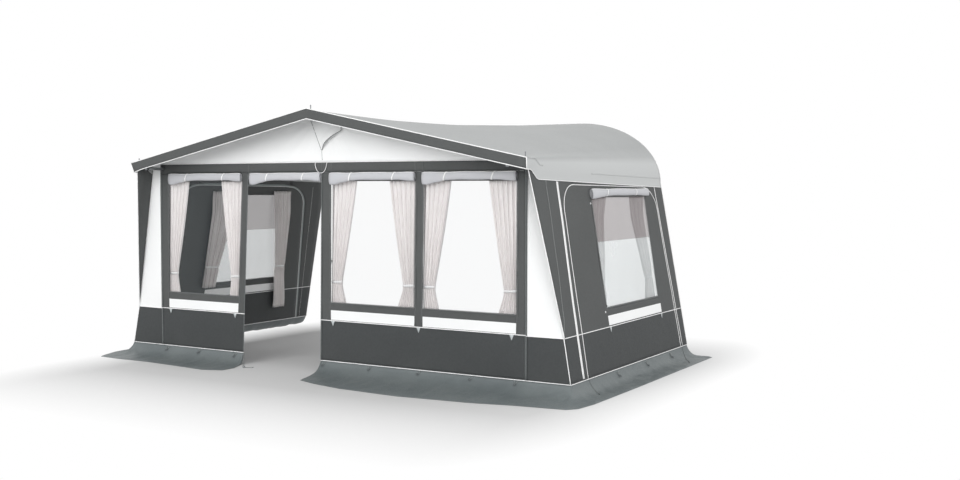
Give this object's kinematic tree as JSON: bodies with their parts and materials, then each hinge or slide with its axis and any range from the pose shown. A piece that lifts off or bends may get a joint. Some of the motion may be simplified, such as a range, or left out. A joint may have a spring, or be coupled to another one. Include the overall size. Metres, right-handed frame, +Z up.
{
  "type": "caravan awning",
  "caption": "Caravan awning with a gabled canopy front, windowed walls, rolled blinds, a rolled-up door, curtains and ground aprons on a frame of telescopic poles",
  "frame": {"origin": "on the ground, at the middle of the bounding box", "axes": "+X along the front to the right as seen from the front, +Y towards the caravan, +Z up"},
  "size_m": [5.6584, 3.45, 2.4971],
  "materials": {
    "roof_fabric": "matte",
    "grey_fabric": "matte",
    "white_fabric": "matte",
    "blind_fabric": "matte",
    "apron_fabric": "satin",
    "clear_foil": "gloss",
    "curtain_cloth": "matte",
    "steel_tube": "satin",
    "cast_connector": "satin",
    "knob_plastic": "matte"
  },
  "bodies": {
    "awning": {"roof_panel": "roof_fabric", "valance": "grey_fabric", "gable_panel": "white_fabric", "header_band": "grey_fabric", "corner_panel_left": "white_fabric", "corner_panel_right": "white_fabric", "front_panel_left": "grey_fabric", "front_panel_right": "grey_fabric", "door_roll": "blind_fabric", "window_left": "clear_foil", "window_middle": "clear_foil", "window_right": "clear_foil", "side_wall_left": "grey_fabric", "side_wall_right": "grey_fabric", "side_panel_left": "grey_fabric", "side_panel_right": "grey_fabric", "side_window_left": "clear_foil", "side_window_right": "clear_foil", "curtain_front_1": "curtain_cloth", "curtain_front_2": "curtain_cloth", "curtain_front_3": "curtain_cloth", "curtain_front_4": "curtain_cloth", "curtain_front_5": "curtain_cloth", "curtain_front_6": "curtain_cloth", "curtain_left_front": "curtain_cloth", "curtain_left_rear": "curtain_cloth", "curtain_right_front": "curtain_cloth", "curtain_right_rear": "curtain_cloth", "apron_left": "apron_fabric", "apron_right": "apron_fabric", "keder_strip": "white_fabric", "peak_connector": "cast_connector", "corner_connector_left": "cast_connector", "corner_connector_right": "cast_connector", "curtain_rail": "steel_tube", "ridge_pole_outer": "steel_tube", "eave_pole_left_outer": "steel_tube", "eave_pole_right_outer": "steel_tube", "rafter_left_outer": "steel_tube", "rafter_right_outer": "steel_tube", "corner_post_left_upper": "steel_tube", "corner_post_right_upper": "steel_tube", "centre_post_upper": "steel_tube"},
    "vent": {"vent_flap": "white_fabric"},
    "corner_post_left_foot": {"corner_post_left_lower": "steel_tube"},
    "corner_post_left_screw": {"corner_post_left_knob": "knob_plastic"},
    "centre_post_foot": {"centre_post_lower": "steel_tube"},
    "centre_post_screw": {"centre_post_knob": "knob_plastic"},
    "corner_post_right_foot": {"corner_post_right_lower": "steel_tube"},
    "corner_post_right_screw": {"corner_post_right_knob": "knob_plastic"},
    "eave_pole_left_end": {"eave_pole_left_inner": "steel_tube"},
    "eave_pole_left_screw": {"eave_pole_left_knob": "knob_plastic"},
    "ridge_pole_end": {"ridge_pole_inner": "steel_tube"},
    "ridge_pole_screw": {"ridge_pole_knob": "knob_plastic"},
    "eave_pole_right_end": {"eave_pole_right_inner": "steel_tube"},
    "eave_pole_right_screw": {"eave_pole_right_knob": "knob_plastic"},
    "rafter_left_end": {"rafter_left_inner": "steel_tube"},
    "rafter_left_screw": {"rafter_left_knob": "knob_plastic"},
    "rafter_right_end": {"rafter_right_inner": "steel_tube"},
    "rafter_right_screw": {"rafter_right_knob": "knob_plastic"}
  },
  "joints": [
    {"name": "vent_hinge", "type": "hinge", "parent": "awning", "child": "vent", "pos_m": [-0.16, -1.0773, 2.37], "axis": [-0.9973, 0, 0.073], "range_deg": [0, 30]},
    {"name": "corner_post_left_slide", "type": "slide", "parent": "awning", "child": "corner_post_left_foot", "axis": [0, 0, 1], "range_m": [0, 0.25]},
    {"name": "corner_post_left_turn", "type": "hinge", "parent": "awning", "child": "corner_post_left_screw", "pos_m": [-2.09, -0.98, 1.045], "axis": [0, 1, 0], "range_deg": [0, 270]},
    {"name": "centre_post_slide", "type": "slide", "parent": "awning", "child": "centre_post_foot", "axis": [0, 0, 1], "range_m": [0, 0.25]},
    {"name": "centre_post_turn", "type": "hinge", "parent": "awning", "child": "centre_post_screw", "pos_m": [0, -0.98, 1.045], "axis": [0, 1, 0], "range_deg": [0, 270]},
    {"name": "corner_post_right_slide", "type": "slide", "parent": "awning", "child": "corner_post_right_foot", "axis": [0, 0, 1], "range_m": [0, 0.25]},
    {"name": "corner_post_right_turn", "type": "hinge", "parent": "awning", "child": "corner_post_right_screw", "pos_m": [2.09, -0.98, 1.045], "axis": [0, 1, 0], "range_deg": [0, 270]},
    {"name": "eave_pole_left_slide", "type": "slide", "parent": "awning", "child": "eave_pole_left_end", "axis": [0, -1, 0], "range_m": [0, 0.3]},
    {"name": "eave_pole_left_turn", "type": "hinge", "parent": "awning", "child": "eave_pole_left_screw", "pos_m": [-2.09, 0.28, 1.9], "axis": [0, 0, -1], "range_deg": [0, 270]},
    {"name": "ridge_pole_slide", "type": "slide", "parent": "awning", "child": "ridge_pole_end", "axis": [0, -1, 0], "range_m": [0, 0.3]},
    {"name": "ridge_pole_turn", "type": "hinge", "parent": "awning", "child": "ridge_pole_screw", "pos_m": [0, 0.28, 2.358], "axis": [0, 0, -1], "range_deg": [0, 270]},
    {"name": "eave_pole_right_slide", "type": "slide", "parent": "awning", "child": "eave_pole_right_end", "axis": [0, -1, 0], "range_m": [0, 0.3]},
    {"name": "eave_pole_right_turn", "type": "hinge", "parent": "awning", "child": "eave_pole_right_screw", "pos_m": [2.09, 0.28, 1.9], "axis": [0, 0, -1], "range_deg": [0, 270]},
    {"name": "rafter_left_slide", "type": "slide", "parent": "awning", "child": "rafter_left_end", "axis": [0.979, 0, 0.204], "range_m": [0, 0.25]},
    {"name": "rafter_left_turn", "type": "hinge", "parent": "awning", "child": "rafter_left_screw", "pos_m": [-1.15489, -1.275, 2.19494], "axis": [0, 1, 0], "range_deg": [0, 270]},
    {"name": "rafter_right_slide", "type": "slide", "parent": "awning", "child": "rafter_right_end", "axis": [-0.979, 0, 0.204], "range_m": [0, 0.25]},
    {"name": "rafter_right_turn", "type": "hinge", "parent": "awning", "child": "rafter_right_screw", "pos_m": [1.15489, -1.275, 2.19494], "axis": [0, 1, 0], "range_deg": [0, 270]}
  ]
}
